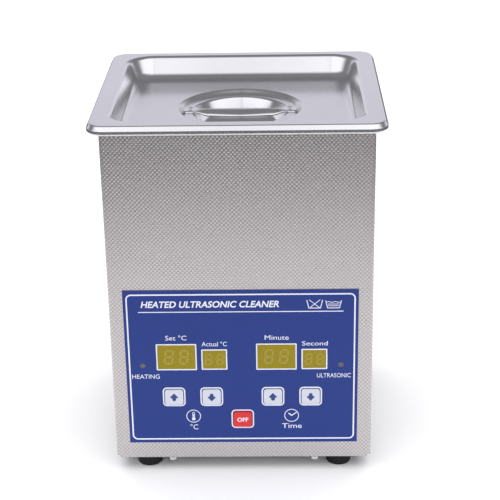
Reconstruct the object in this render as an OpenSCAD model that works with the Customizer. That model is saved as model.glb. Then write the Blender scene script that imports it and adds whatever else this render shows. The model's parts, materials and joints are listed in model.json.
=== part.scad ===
// Two-litre bench ultrasonic cleaner: a drawn steel tank hung in an embossed steel casing,
// with a lift-off lid, a front control panel, and the driver electronics under the tank.
// Frame: origin on the floor under the centre of the casing, +Z up, front face towards -Y.

/* [Casing] */
// Width of the casing
casing_w = 162; // [158:1:168]
// Depth of the casing
casing_d = 148; // [146:1:152]
// Height of the casing's walls
casing_h = 217; // [205:1:235]
// Thickness of the casing's sheet steel
sheet_t = 0.8; // [0.6:0.1:1]
// Outside radius of the casing's upright bends
casing_bend_r = 2.5; // [1.5:0.5:4]
// Height of a rubber foot
foot_h = 9; // [6:0.5:14]

/* [Tank] */
// Width of the tank's mouth between its walls
tank_w = 150; // [146:1:151]
// Depth, front to back, of the tank's mouth between its walls
tank_d = 139; // [137:0.5:139.5]
// Depth of the bath below the rim
bath_depth = 100; // [65:1:105]
// How far the tank's walls lean in from mouth to floor
wall_draft = 2.6; // [1:0.2:4]

/* [Lid] */
// Width of the lid over its rolled rim
lid_w = 176; // [174:1:182]
// Depth, front to back, of the lid over its rolled rim
lid_d = 162; // [160:1:168]
// Corner radius of the lid's rim in plan
lid_corner_r = 11; // [10:1:16]
// Depth of the tray pressed into the lid
tray_depth = 13.5; // [10:0.5:16]
// Lean of the tray's walls from the vertical, in degrees
tray_lean = 25; // [15:1:32]
// Radius of the round well in the tray's floor
well_r = 38.5; // [34:0.5:42]
// Depth of the finger bowl below its ledge
bowl_depth = 15; // [10:1:18]

/* [Front panel] */
// Width of the printed overlay
panel_w = 144; // [140:1:148]
// Height of the printed overlay
panel_h = 106; // [104:1:112]
// Width of a key cap
key_w = 11.4; // [9:0.2:12]
// Height of a key cap
key_h = 10.4; // [8:0.2:11]
// How far a key cap stands out of the overlay
key_proud = 0.9; // [0.5:0.1:1.5]

/* [Hidden] */
$fn = 64;

// ---- levels, from the floor up ----
plate_t = 1;
casing_z = foot_h + plate_t;             // underside of the casing
casing_top = casing_z + casing_h;
gasket_t = 0.8;
flange_z = casing_top + gasket_t;        // underside of the tank's flange
rim_z = flange_z + sheet_t;              // top of the tank's flange
tank_floor_z = rim_z - bath_depth;
rim_drop = 4.8;                          // height of the lid's turned-down rim
rim_lean = 24;                           // slope of the rim's skirt from the vertical
rim_bend_r = 1;
rim_roll_r = 1.2;                        // outside radius of the roll at the skirt's foot
lid_gap = 0.4;                           // between the lid's rolled rim and the tank's flange
lid_z = rim_z + lid_gap + rim_drop;      // top of the lid
tray_z = lid_z - tray_depth;             // top of the tray's floor
ledge_drop = 2.6;
ledge_z = tray_z - ledge_drop;           // top of the ledge that carries the handle

// ---- casing ----
fold_w = 8;                              // the casing's bottom fold
corner_cut = 3;                          // bend relief at the casing's bottom corners
front_y = -casing_d / 2;
rear_y = casing_d / 2;

// ---- tank ----
tank_flange_inset = 1.2;                 // the tank's flange is this much smaller than the lid, all round
mouth_bend_r = 2.2;
tank_corner_r = 17;                      // inside corner radius of the walls at the mouth
tank_fillet_r = 8;
tank_cx = tank_w / 2 - tank_corner_r;
tank_cy = tank_d / 2 - tank_corner_r;
tank_flange_r = lid_corner_r - tank_flange_inset;

// ---- lid ----
tray_edge_r = 19;                        // corner radius of the tray's edge in plan
tray_bend_r = 3;
tray_fillet_r = 7;
tray_cx = tank_w / 2 + 2.8 - tray_edge_r;
tray_cy = tank_d / 2 + 3.6 - tray_edge_r;
well_bend_r = 1.4;
ledge_out_r = well_r - 2.4;
bowl_r = ledge_out_r - 5.2;
bowl_bend_r = 1.6;
bowl_fillet_r = 9;
strap_mid_w = 13;                        // width at the middle of the handle
strap_neck_w = 9.6;                      // and where it meets its tabs
strap_tab_w = 11;
strap_t = 1.2;
strap_curl = 1.5;                        // how far the strap's long edges curl down
strap_half = bowl_r + 4.8;               // half the handle's length

// ---- front panel; heights are above the casing's underside ----
film_t = 0.6;
panel_mid = 64.1;
film_y = front_y - film_t;
key_gap = 0.25;                          // round a key cap in its hole
key_r = 1.6;                             // corner radius of a key cap
key_travel = 0.5;
key_row = 44;
key_x = [-42.8, -19.2, 19.2, 42.8];
power_key_at = [0, 28];
display_big = [23.6, 16.6];
display_small = [14.5, 12.6];
display_at = [[-40.4, 71.9], [-16.9, 70.1], [21.6, 71.9], [45.1, 70.1]];
led_at = [[-61.5, 66.1], [61.5, 66.1]];
led_r = 1.75;
display_depth = 8;
board_t = 1.6;
control_y = front_y + display_depth;     // front face of the control board
control_w = 136;
control_h = 72;
control_mid = 55;
switch_size = 12;
switch_h = 3.5;
stem_r = 1.7;

// ---- transducer ----
bond_t = 0.5;
front_mass_h = 24;
piezo_r = 19;
piezo_t = 5;
disc_t = 0.3;
back_mass_h = 20;
stack_top = tank_floor_z - sheet_t - bond_t;
piezo_top = stack_top - front_mass_h;
stack_bore_r = 5.2;
back_mass_top = piezo_top - 3 * disc_t - 2 * piezo_t;
back_mass_bottom = back_mass_top - back_mass_h;

// ---- driver board ----
driver_w = 112;
driver_d = 88;
driver_y = -8;
standoff_h = 8;
driver_z = casing_z + standoff_h;        // underside of the driver board
driver_top = driver_z + board_t;

// ---- mains inlet, centred on the rear ----
inlet_z = casing_z + 38;
inlet_w = 28;
inlet_h = 34;
inlet_depth = 24;
inlet_flange_t = 2.4;
inlet_face_y = rear_y + inlet_flange_t;
socket_w = 24.6;
socket_h = 16.6;
socket_depth = 16;
socket_dz = 6;                           // socket's middle above the inlet's middle
drawer_w = 22.6;
drawer_h = 8;
drawer_len = 19;
drawer_dz = -10.6;
drawer_gap = 0.2;
fuse_r = 2.6;
fuse_len = 20;

// ================= helpers =================

// Points along an arc
function arc(c, r, a0, a1, n = 8) =
    [for (i = [0:n]) let (a = a0 + (a1 - a0) * i / n) c + r * [cos(a), sin(a)]];

// Rounded rectangle, centred
module rrect(w, d, r) {
    square([w - 2 * r, d], center = true);
    square([w, d - 2 * r], center = true);
    for (x = [-1, 1], y = [-1, 1])
        translate([x * (w / 2 - r), y * (d / 2 - r)]) circle(r);
}

// Rectangle with its corners cut at 45 degrees, centred
module cut_rect(w, d, c) {
    polygon([
        [-w / 2 + c, -d / 2], [w / 2 - c, -d / 2], [w / 2, -d / 2 + c], [w / 2, d / 2 - c],
        [w / 2 - c, d / 2], [-w / 2 + c, d / 2], [-w / 2, d / 2 - c], [-w / 2, -d / 2 + c]
    ]);
}

// Sweeps a profile (x outwards, y up) round a rectangle whose corners are arcs about (+-cx, +-cy)
module sweep(cx, cy) {
    for (q = [0:3]) {
        rotate([0, 0, 90 * q]) {
            across = q % 2 == 0 ? cx : cy;
            along = q % 2 == 0 ? cy : cx;
            translate([across, along, 0]) rotate_extrude(angle = 90) children();
            translate([across, 0, 0]) rotate([90, 0, 0])
                linear_extrude(2 * along, center = true) children();
        }
    }
}

// Stands 2D children, drawn in X and Z, upright: they fill from y to y + depth
module upright(y, depth) {
    translate([0, y + depth, 0]) rotate([90, 0, 0]) linear_extrude(depth) children();
}

// Puts children at [x, z] on the front panel, where z is above the casing's underside
module on_panel(at) {
    translate([at[0], 0, casing_z + at[1]]) children();
}

// Box given by its lowest and highest corners
module block(lo, hi) {
    translate(lo) cube(hi - lo);
}

// Pan-head screw pointing up, its head's top face at z = 0
module pan_screw(head_r, head_h, shank_r, length) {
    translate([0, 0, -head_h]) cylinder(r = head_r, h = head_h);
    translate([0, 0, -0.1]) cylinder(r = shank_r, h = length + 0.1);
}

// Round wire along a route of points, bent smoothly at each one
function bezier(p, q, r, t) = (1 - t) * (1 - t) * p + 2 * t * (1 - t) * q + t * t * r;
function smooth_route(pts, n = 4) = concat(
    [pts[0]],
    [for (i = [1:len(pts) - 2]) each
        [for (k = [0:n - 1]) bezier((pts[i - 1] + pts[i]) / 2, pts[i], (pts[i] + pts[i + 1]) / 2, k / n)]],
    [(pts[len(pts) - 2] + pts[len(pts) - 1]) / 2, pts[len(pts) - 1]]
);
function unit(v) = v / norm(v);
function heading(p, i) = unit(
    p[min(i + 1, len(p) - 1)] - p[max(i - 1, 0)]
);
function side_of(d) = unit(cross(d, abs(d[2]) > 0.9 ? [0, 1, 0] : [0, 0, 1]));

module wire(pts, r, sides = 6) {
    p = smooth_route(pts);
    n = len(p);
    // A frame carried along the route, so that the tube does not twist
    frames = [for (i = 0, u = side_of(heading(p, 0)); i < n;
        i = i + 1, u = i < n ? unit(u - (u * heading(p, i)) * heading(p, i)) : u) u];
    ring = [for (i = [0:n - 1]) let (u = frames[i], v = cross(heading(p, i), u))
        for (k = [0:sides - 1]) p[i] + r * (cos(360 * k / sides) * u + sin(360 * k / sides) * v)];
    polyhedron(
        points = ring,
        faces = concat(
            [[for (k = [0:sides - 1]) k]],
            [for (i = [0:n - 2], k = [0:sides - 1]) let (a = i * sides + k, b = i * sides + (k + 1) % sides)
                each [[a, a + sides, b], [b, a + sides, b + sides]]],
            [[for (k = [sides - 1:-1:0]) (n - 1) * sides + k]]
        )
    );
}

// ================= casing and base =================

module casing_walls() {
    linear_extrude(casing_h) difference() {
        rrect(casing_w, casing_d, casing_bend_r);
        rrect(casing_w - 2 * sheet_t, casing_d - 2 * sheet_t, casing_bend_r - sheet_t);
    }
}

// Folds at the top, under the tank's flange, and at the bottom, over the bottom plate
module casing_folds() {
    inner_w = casing_w - sheet_t;
    inner_d = casing_d - sheet_t;
    linear_extrude(sheet_t) difference() {
        cut_rect(inner_w, inner_d, corner_cut + 2);
        square([casing_w - 2 * fold_w, casing_d - 2 * fold_w], center = true);
    }
    translate([0, 0, casing_h - sheet_t]) linear_extrude(sheet_t) difference() {
        rrect(inner_w, inner_d, casing_bend_r - sheet_t / 2);
        rrect(tank_w + 2.8, tank_d + 2.8, tank_corner_r + 1);
    }
}

// Openings in the front wall for the displays, keys and indicators
module front_openings() {
    for (i = [0:3]) on_panel(display_at[i])
        upright(front_y - 1, sheet_t + 2) square(display_size(i) + [1.6, 1.6], center = true);
    for (x = key_x) on_panel([x, key_row]) key_hole();
    on_panel(power_key_at) key_hole();
    for (p = led_at) on_panel(p)
        upright(front_y - 1, sheet_t + 2) circle(led_r + 0.1);
}

function display_size(i) = i % 2 == 0 ? display_big : display_small;

module key_outline(grow = 0) {
    rrect(key_w + 2 * grow, key_h + 2 * grow, key_r + grow);
}

module key_hole() {
    upright(front_y - 1, sheet_t + 2)
        key_outline(key_gap);
}

module base_screw_places() {
    for (x = [-45.5, 45.5], y = [-1, 1]) translate([x, y * (casing_d / 2 - 4)]) children();
    for (x = [-1, 1]) translate([x * (casing_w / 2 - 4), 0]) children();
}

module inlet_cutout() {
    translate([0, 0, inlet_z]) {
        upright(rear_y - sheet_t - 1, sheet_t + 2)
            square([inlet_w + 0.4, inlet_h + 0.4], center = true);
        for (x = [-20, 20]) translate([x, 0, 0])
            upright(rear_y - sheet_t - 1, sheet_t + 2) circle(1.7);
    }
}

module outer_casing() {
    color("lightgray") difference() {
        translate([0, 0, casing_z]) {
            casing_walls();
            casing_folds();
        }
        front_openings();
        inlet_cutout();
        translate([0, 0, casing_z - 1]) linear_extrude(sheet_t + 2)
            base_screw_places() circle(1.5);
        // bend relief at each bottom corner
        for (a = [0, 180]) rotate([0, 0, a]) {
            for (x = [-1, 1])
                upright(rear_y - sheet_t - 2, sheet_t + 4) translate([x * casing_w / 2, casing_z])
                    rotate([0, 0, 45]) square(corner_cut * sqrt(2), center = true);
        }
    }
}

module board_post_places() {
    for (x = [-1, 1], y = [-1, 1])
        translate([x * (driver_w / 2 - 5), driver_y + y * (driver_d / 2 - 5)]) children();
}

module foot_places() {
    for (x = [-61, 61], y = [-61, 61]) translate([x, y]) children();
}

module bottom_plate() {
    slot_w = 3;
    slot_len = 30;
    color("dimgray") translate([0, 0, foot_h]) linear_extrude(plate_t) difference() {
        cut_rect(casing_w - 3, casing_d - 3, corner_cut + 2.5);
        foot_places() circle(2.2);
        base_screw_places() circle(1.6);
        board_post_places() circle(1.7);
        for (i = [-4:4], y = [-22, 18]) translate([i * 9, y]) {
            square([slot_w, slot_len - slot_w], center = true);
            for (e = [-1, 1]) translate([0, e * (slot_len - slot_w) / 2]) circle(slot_w / 2);
        }
    }
}

module foot(x, y) {
    top_r = 8.5;
    floor_r = 8;
    edge_r = 1.6;
    color("black") translate([x, y, 0]) difference() {
        rotate_extrude() polygon(concat(
            [[0, 0]],
            arc([floor_r - edge_r, edge_r], edge_r, -90, 0),
            [[top_r, foot_h], [0, foot_h]]
        ));
        translate([0, 0, -1]) cylinder(r = 4.4, h = 5.5);
        cylinder(r = 2.2, h = foot_h + 1);
    }
}

module foot_screws() {
    color("silver") for (x = [-61, 61], y = [-61, 61]) translate([x, y, 4.5]) {
        difference() {
            pan_screw(3.6, 2.4, 2, 10.5);
            translate([0, 0, -2.9]) {
                translate([-2.5, -0.4, 0]) cube([5, 0.8, 1.5]);
                translate([-0.4, -2.5, 0]) cube([0.8, 5, 1.5]);
            }
        }
        translate([0, 0, casing_z - 4.5]) cylinder(r = 3.9, h = 3.2, $fn = 6);
    }
}

module base_screws() {
    color("silver") translate([0, 0, foot_h]) base_screw_places() difference() {
        pan_screw(2.8, 2, 1.45, 6);
        translate([0, 0, -2.5]) {
            translate([-2, -0.35, 0]) cube([4, 0.7, 1.3]);
            translate([-0.35, -2, 0]) cube([0.7, 4, 1.3]);
        }
    }
}

// ================= tank =================

// Section of the tank from its mouth bend to its floor, x from the corner's centre
module tank_section() {
    t = sheet_t;
    wall_x = tank_corner_r;
    foot_x = wall_x - wall_draft;
    mouth = [wall_x + mouth_bend_r, rim_z - mouth_bend_r];
    bottom = [foot_x - tank_fillet_r, tank_floor_z + tank_fillet_r];
    polygon(concat(
        arc(mouth, mouth_bend_r, 90, 180),
        arc(bottom, tank_fillet_r, 0, -90),
        [[0, tank_floor_z], [0, tank_floor_z - t]],
        arc(bottom, tank_fillet_r + t, -90, 0),
        arc(mouth, mouth_bend_r - t, 180, 90)
    ));
}

module tank() {
    edge_x = tank_w + 2 * mouth_bend_r;
    edge_y = tank_d + 2 * mouth_bend_r;
    color("silver") {
        sweep(tank_cx, tank_cy) tank_section();
        translate([0, 0, tank_floor_z - sheet_t]) linear_extrude(sheet_t)
            square([2 * tank_cx, 2 * tank_cy], center = true);
        translate([0, 0, flange_z]) linear_extrude(sheet_t) difference() {
            rrect(lid_w - 2 * tank_flange_inset, lid_d - 2 * tank_flange_inset, tank_flange_r);
            rrect(edge_x, edge_y, tank_corner_r + mouth_bend_r);
        }
    }
}

module rim_gasket() {
    color("whitesmoke") translate([0, 0, casing_top]) linear_extrude(gasket_t) difference() {
        rrect(casing_w - 0.6, casing_d - 0.6, casing_bend_r - 0.3);
        rrect(tank_w + 2 * mouth_bend_r + 0.2, tank_d + 2 * mouth_bend_r + 0.2, tank_corner_r + mouth_bend_r);
    }
}

module heater_pad(side) {
    pad_t = 1.2;
    pad_d = 84;
    lean = atan(wall_draft / (bath_depth - mouth_bend_r - tank_fillet_r));
    color("darkorange") translate([side * (tank_w / 2 - wall_draft / 2 + sheet_t), 0, tank_floor_z + 48])
        rotate([0, side * lean, 0]) translate([side * (0.06 + pad_t / 2), 0, 0])
            cube([pad_t, pad_d, 58], center = true);
}

module temperature_probe() {
    x = 38;
    color("gold") translate([x, 20, tank_floor_z - sheet_t]) {
        translate([0, 0, -4]) linear_extrude(4) rrect(14, 9, 2);
        translate([0, 0, -15]) cylinder(r = 2.6, h = 11);
    }
}

module thermal_cutout() {
    color("dimgray") translate([-42, 16, tank_floor_z - sheet_t]) {
        translate([0, 0, -1.5]) linear_extrude(1.5) difference() {
            rrect(30, 12, 3);
            for (x = [-12, 12]) translate([x, 0]) circle(1.6);
        }
        translate([0, 0, -10]) cylinder(r = 8, h = 8.5);
        for (x = [-4, 4]) translate([x - 0.4, -3, -18]) cube([0.8, 6, 8]);
    }
}

// ================= transducer =================

module stack_bore(top, h) {
    translate([0, 0, top - h - 1]) cylinder(r = stack_bore_r, h = h + 2);
}

module bond_pad() {
    color("tan") translate([0, 0, stack_top]) cylinder(r = 24.5, h = bond_t);
}

module transducer_front_mass() {
    color("gainsboro") difference() {
        union() {
            translate([0, 0, stack_top - 5]) cylinder(r = 24, h = 5);
            translate([0, 0, piezo_top]) cylinder(r1 = piezo_r, r2 = 24, h = front_mass_h - 5);
        }
        translate([0, 0, piezo_top - 1]) cylinder(r = 4.9, h = 16);
    }
}

module piezo_rings() {
    color("saddlebrown") for (i = [0, 1])
        translate([0, 0, piezo_top - disc_t - piezo_t - i * (piezo_t + disc_t)]) difference() {
            cylinder(r = piezo_r, h = piezo_t);
            translate([0, 0, -1]) cylinder(r = 7.5, h = piezo_t + 2);
        }
}

module electrode_discs() {
    color("goldenrod") for (i = [0:2])
        translate([0, 0, piezo_top - disc_t - i * (piezo_t + disc_t)]) difference() {
            union() {
                cylinder(r = piezo_r, h = disc_t);
                rotate([0, 0, i == 1 ? 150 : 30]) translate([piezo_r - 2, -2.5, 0])
                    cube([11, 5, disc_t]);
            }
            translate([0, 0, -1]) cylinder(r = 7.5, h = 3);
        }
}

module transducer_back_mass() {
    color("slategray") difference() {
        translate([0, 0, back_mass_bottom]) cylinder(r = piezo_r, h = back_mass_h);
        stack_bore(back_mass_top, back_mass_h);
    }
}

module transducer_bolt() {
    head_h = 6;
    color("dimgray") {
        translate([0, 0, back_mass_bottom - head_h]) cylinder(r = 9, h = head_h, $fn = 6);
        translate([0, 0, back_mass_bottom - 0.1])
            cylinder(r = 4.8, h = piezo_top + 13 - back_mass_bottom);
    }
}

// ================= driver electronics =================

module driver_board() {
    color("darkgreen") translate([0, 0, driver_z]) linear_extrude(board_t) difference() {
        translate([0, driver_y]) square([driver_w, driver_d], center = true);
        board_post_places() circle(1.7);
    }
}

module driver_standoffs() {
    color("khaki") translate([0, 0, casing_z]) board_post_places() difference() {
        cylinder(r = 3.4, h = standoff_h, $fn = 6);
        translate([0, 0, -1]) cylinder(r = 1.6, h = standoff_h + 2);
    }
}

module driver_screws() {
    color("silver") board_post_places() {
        translate([0, 0, driver_top]) cylinder(r = 2.8, h = 2);
        translate([0, 0, driver_top - 4.5]) cylinder(r = 1.45, h = 5);
        translate([0, 0, foot_h - 1.8]) cylinder(r = 2.8, h = 1.8);
        translate([0, 0, foot_h - 0.5]) cylinder(r = 1.45, h = 5);
    }
}

// A low E-core pair round its winding
module transformer_core() {
    color("dimgray") translate([-32, driver_y - 14, driver_top]) difference() {
        translate([-18, -9, 3]) cube([36, 18, 30]);
        for (x = [-1, 1]) translate([x * 9.5 - 3.5, -10, 8]) cube([7, 20, 20]);
    }
}

module transformer_coil() {
    color("peru") translate([-32, driver_y - 14, driver_top]) {
        difference() {
            translate([0, 0, 9]) linear_extrude(18) rrect(25, 26, 5);
            translate([-6.2, -9.2, 8]) cube([12.4, 18.4, 20]);
        }
        for (y = [-1, 1]) translate([-12, y * 12.5 - 2, 0]) cube([24, 4, 8.9]);
    }
}

module tuning_inductor() {
    color("peru") translate([6, driver_y - 20, driver_top + 1]) {
        difference() {
            cylinder(r = 13, h = 14);
            translate([0, 0, -1]) cylinder(r = 6, h = 16);
        }
        for (a = [45, 225]) rotate([0, 0, a]) translate([10, 0, -1]) cylinder(r = 1, h = 1.2);
    }
}

module heat_sink() {
    fin_t = 1.6;
    color("silver") translate([38, driver_y - 6, driver_top]) {
        translate([-2, -26, 0]) cube([4, 52, 32]);
        for (i = [0:6]) translate([2, -26 + i * (52 - fin_t) / 6, 0]) cube([12, fin_t, 32]);
    }
}

module power_transistors() {
    color("dimgray") for (y = [-14, 10]) translate([36, driver_y - 6 + y, driver_top]) {
        translate([-4.6, -5, 6]) cube([4.6, 10, 14]);
        for (i = [-1:1]) translate([-2.6, i * 2.54 - 0.4, 0]) cube([0.8, 0.8, 6.1]);
    }
}

module film_capacitors() {
    color("firebrick") for (i = [0:2])
        translate([-8 + i * 14, driver_y + 10, driver_top]) {
            translate([-5, -9, 1]) cube([10, 18, 15]);
            for (y = [-7, 7]) translate([0, y, 0]) cylinder(r = 0.5, h = 1.2);
        }
}

module bulk_capacitor() {
    color("midnightblue") translate([-34, driver_y + 18, driver_top]) {
        translate([0, 0, 0.8]) cylinder(r = 11, h = 30);
        for (x = [-5, 5]) translate([x, 0, 0]) cylinder(r = 0.7, h = 1);
    }
}

module bridge_rectifier() {
    color("dimgray") translate([-14, driver_y + 34, driver_top]) {
        translate([-10, -2, 4]) cube([20, 4, 13]);
        for (i = [-1.5:1.5]) translate([i * 4.8 - 0.5, -0.5, 0]) cube([1, 1, 4.1]);
    }
}

// Screw terminals for the mains, the heaters and the transducer, and a header for the ribbon
module terminal_blocks() {
    color("seagreen") translate([0, 0, driver_top]) {
        translate(mains_block) cube([22, 9, block_h]);
        translate(heater_block) cube([16, 10, block_h]);
        translate(horn_block) cube([9, 16, block_h]);
        translate(header_at) cube([22, 6, header_h]);
    }
}

// ================= control board =================

module control_holes() {
    for (x = [-1, 1], z = [-1, 1])
        translate([x * (control_w / 2 - 3.5), casing_z + control_mid + z * (control_h / 2 - 3.5)])
            children();
}

module control_board() {
    color("darkgreen") upright(control_y, board_t) difference() {
        translate([0, casing_z + control_mid]) square([control_w, control_h], center = true);
        control_holes() circle(1.7);
    }
}

// Studs welded to the inside of the front wall, each with its nut
module control_standoffs() {
    back = front_y + sheet_t;
    color("silver") {
        upright(back, control_y - back) control_holes() circle(2.8);
        upright(back, control_y + board_t + 5 - back) control_holes() circle(1.4);
        upright(control_y + board_t, 2.4) control_holes() circle(2.9, $fn = 6);
    }
}

// Controller, display driver, buzzer and the ribbon's socket, on the control board's rear
module control_chips() {
    y = control_y + board_t;
    color("black") {
        on_panel([-34, 62]) upright(y, 1.6) square(12, center = true);
        on_panel([6, 72]) upright(y, 3) square([24, 7], center = true);
        on_panel([-3, 43]) upright(y, 6) square([20, 6], center = true);
        on_panel([38, 62]) upright(y, 7) difference() {
            circle(6);
            circle(1);
        }
    }
}

module tact_switch() {
    difference() {
        upright(control_y - switch_h, switch_h) square(switch_size, center = true);
        upright(control_y - switch_h - 1, 3) circle(stem_r + 0.15);
    }
}

module tact_switches() {
    color("dimgray") {
        for (x = key_x) on_panel([x, key_row]) tact_switch();
        on_panel(power_key_at) tact_switch();
    }
}

// Two-digit LED display standing on the control board, its face just behind the overlay's window
module display(i) {
    size = display_size(i);
    color("black") on_panel(display_at[i]) upright(front_y + 0.1, display_depth - 0.1)
        square(size + [1, 1], center = true);
}

module indicator_leds() {
    color("lightyellow") for (p = led_at) on_panel(p) {
        upright(front_y + 0.2, control_y - front_y - 0.2) circle(led_r);
        upright(control_y - 4, 4) circle(led_r + 0.4);
    }
}

module panel_overlay() {
    color("royalblue") difference() {
        on_panel([0, panel_mid]) upright(film_y, film_t) square([panel_w, panel_h], center = true);
        for (i = [0:3]) on_panel(display_at[i])
            upright(film_y - 1, film_t + 2) square(display_size(i), center = true);
        for (x = key_x) on_panel([x, key_row]) overlay_key_hole();
        on_panel(power_key_at) overlay_key_hole();
        for (p = led_at) on_panel(p) upright(film_y - 1, film_t + 2) circle(led_r);
    }
}

module overlay_key_hole() {
    upright(film_y - 1, film_t + 2)
        key_outline(key_gap);
}

// Tinted windows over the displays and the two indicators, flush in the overlay
module display_windows() {
    color("olive") {
        for (i = [0:3]) on_panel(display_at[i])
            upright(film_y + 0.05, film_t - 0.05) square(display_size(i), center = true);
        for (p = led_at) on_panel(p) upright(film_y + 0.05, film_t - 0.05) circle(led_r);
    }
}

// Key cap in its hole, with a lip behind the casing and a stem into its switch
module key(at, tint) {
    lip_y = front_y + sheet_t + 0.2;
    stem_end = control_y - switch_h + 1;
    color(tint) on_panel(at) {
        upright(film_y - key_proud, lip_y + 0.8 - film_y + key_proud) key_outline();
        upright(lip_y, 1.2) key_outline(0.8);
        upright(lip_y + 1, stem_end - lip_y - 1) circle(stem_r);
    }
}

// ================= mains inlet =================

module inlet_body_outline() {
    square([inlet_w, inlet_h], center = true);
}

module mains_inlet() {
    color("black") translate([0, 0, inlet_z]) difference() {
        union() {
            upright(rear_y, inlet_flange_t) {
                rrect(30.6, inlet_h + 3, 3);
                rrect(49, 18, 6);
            }
            upright(inlet_face_y - inlet_depth, inlet_depth) inlet_body_outline();
        }
        // socket for the plug
        upright(inlet_face_y - socket_depth, socket_depth + 1) translate([0, socket_dz]) polygon([
            [-socket_w / 2, -socket_h / 2], [socket_w / 2, -socket_h / 2], [socket_w / 2, socket_h / 2 - 5],
            [socket_w / 2 - 5, socket_h / 2], [-socket_w / 2 + 5, socket_h / 2],
            [-socket_w / 2, socket_h / 2 - 5]
        ]);
        // blade slots through the back
        inlet_blade_places(0.05);
        // fuse drawer's slot
        upright(inlet_face_y - drawer_len - 1, drawer_len + 2) translate([0, drawer_dz])
            square([drawer_w + 2 * drawer_gap, drawer_h + 2 * drawer_gap], center = true);
        for (x = [-20, 20]) translate([x, 0, 0]) upright(rear_y - 1, inlet_flange_t + 2) circle(1.7);
    }
}

// Blades run from their tips in the socket out through the back
module inlet_blade_places(grow) {
    tip = 5;
    for (p = [[-7, socket_dz - 2], [7, socket_dz - 2], [0, socket_dz + 2]])
        upright(inlet_face_y - inlet_depth - 8, inlet_depth + 8 - tip) translate(p)
            square([2 + 2 * grow, 4 + 2 * grow], center = true);
}

module inlet_blades() {
    color("silver") translate([0, 0, inlet_z]) inlet_blade_places(0);
}

module inlet_screws() {
    color("silver") translate([0, 0, inlet_z]) for (x = [-20, 20]) translate([x, 0, 0]) {
        difference() {
            upright(inlet_face_y, 1.8) circle(2.9);
            upright(inlet_face_y + 0.8, 2) {
                square([4, 0.7], center = true);
                square([0.7, 4], center = true);
            }
        }
        upright(rear_y - 8, inlet_flange_t + 8.1) circle(1.5);
        upright(rear_y - sheet_t - 2.4, 2.4) circle(3.1, $fn = 6);
    }
}

module fuse_drawer() {
    y0 = inlet_face_y - drawer_len;
    color("dimgray") translate([0, 0, inlet_z + drawer_dz]) difference() {
        union() {
            upright(y0, drawer_len + 0.2) square([drawer_w, drawer_h], center = true);
            upright(inlet_face_y + 0.2, 0.9) square([drawer_w - 8, 1.6], center = true);
        }
        // cradle for the fuse, open upwards
        translate([-fuse_len / 2 - 0.3, y0 + 1.6, -fuse_r - 0.2])
            cube([fuse_len + 0.6, 2 * fuse_r + 0.4, drawer_h]);
        translate([-7, y0 + 8.4, -2.4]) cube([14, 7, drawer_h]);
    }
}

module fuse() {
    color("silver") translate([0, inlet_face_y - drawer_len + 1.8 + fuse_r, inlet_z + drawer_dz])
        rotate([0, 90, 0]) {
            cylinder(r = fuse_r - 0.3, h = fuse_len - 2, center = true);
            for (e = [-1, 1])
                translate([0, 0, e * (fuse_len / 2 - 2.5)]) cylinder(r = fuse_r, h = 5, center = true);
        }
}

// ================= wiring =================

inlet_tab_y = inlet_face_y - inlet_depth - 8;
blade_z = inlet_z + socket_dz;
block_h = 11;
block_top = driver_top + block_h;
mains_block = [4, driver_y + 33];
heater_block = [30, driver_y + 30];
horn_block = [-55, driver_y - 3];
header_at = [-14, driver_y - driver_d / 2 + 1];
header_h = 9;

// Three leads from the inlet's blades down to the mains terminals
module mains_leads() {
    color("saddlebrown") for (i = [-1:1]) {
        z = i == 0 ? blade_z + 2 : blade_z - 2;
        x = mains_block[0] + 11 + 6 * i;
        y = mains_block[1] + 4;
        wire([
            [7 * i, inlet_tab_y - 0.2, z], [7 * i, inlet_tab_y - 6, z],
            [x, y + 4, z - 6], [x, y, block_top + 8], [x, y, block_top + 0.1]
        ], 1.1);
    }
}

// Two leads from the electrode tabs to the output terminals
module transducer_leads() {
    color("tomato") for (i = [0, 1]) {
        a = i == 0 ? 150 : 30;
        out = [cos(a), sin(a), 0];
        start = [0, 0, piezo_top - disc_t / 2 - (i + 1) * (piezo_t + disc_t)] + (piezo_r + 9.1) * out;
        x = horn_block[0] + 4.5;
        y = horn_block[1] + 4 + 8 * i;
        pass = i == 0 ? [-40, 20, 84] : [12, 34, 76];
        wire([
            start, start + 4 * out, pass, [x, y + 6, 70 - 12 * i], [x, y, block_top + 14],
            [x, y, block_top + 0.1]
        ], 0.9);
    }
}

// Two leads from the foot of each heater pad to the heater terminals
module heater_leads() {
    pad_foot = tank_floor_z + 48 - 29;
    gap_x = casing_w / 2 - sheet_t - 2.6;
    color("white") for (s = [-1, 1], i = [0, 1]) {
        x = heater_block[0] + (s < 0 ? 2.5 : 10) + 3 * i;
        y = heater_block[1] + 5;
        top = [s * (tank_w / 2 - wall_draft + 2.2), 30 + 4 * i, pad_foot - 0.4];
        down = [[s * gap_x, 30 + 4 * i, pad_foot - 12], [s * gap_x, 34 + 4 * i, 62]];
        last = [[x, y, block_top + 8], [x, y, block_top + 0.1]];
        if (s < 0)
            wire(concat([top], down, [
                [-62, 38 + 2.4 * i, 34], [24, 38 + 2.4 * i, 34], [x, 36, 37]
            ], last), 0.8);
        else
            wire(concat([top], down, [[60, 33 + 2.4 * i, 40]], last), 0.8);
    }
}

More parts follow.
